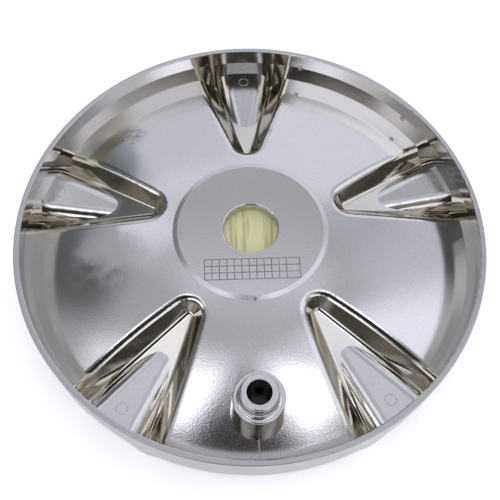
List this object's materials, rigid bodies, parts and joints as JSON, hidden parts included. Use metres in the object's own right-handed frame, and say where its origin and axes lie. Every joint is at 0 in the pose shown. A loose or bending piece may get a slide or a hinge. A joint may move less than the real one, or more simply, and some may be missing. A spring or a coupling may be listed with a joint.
{
  "type": "wheel centre cap",
  "caption": "Round chrome-plated wheel centre cap: a shallow domed dish with a rim skirt, hollow wedge ribs, a stepped hollow screw post on the back and a bare emblem disc stuck in the front.",
  "frame": {"origin": "on the cap's axis, at the surface that the rib crests rest on when the cap lies on its face", "axes": "+Z out of the cap's back along its axis, +Y along one rib, the screw post on the -Y side"},
  "size_m": [0.19, 0.19, 0.0391],
  "materials": {
    "chrome_plate": "bright chrome plate over moulded plastic, satin and a little mottled on the back of the panel",
    "adhesive": "pale yellow adhesive foam with faint streaks",
    "emblem": "brushed, bare, with no mark"
  },
  "bodies": {
    "root": {"cap_body": "chrome_plate", "adhesive_pad": "adhesive", "emblem_disc": "emblem"}
  },
  "joints": []
}
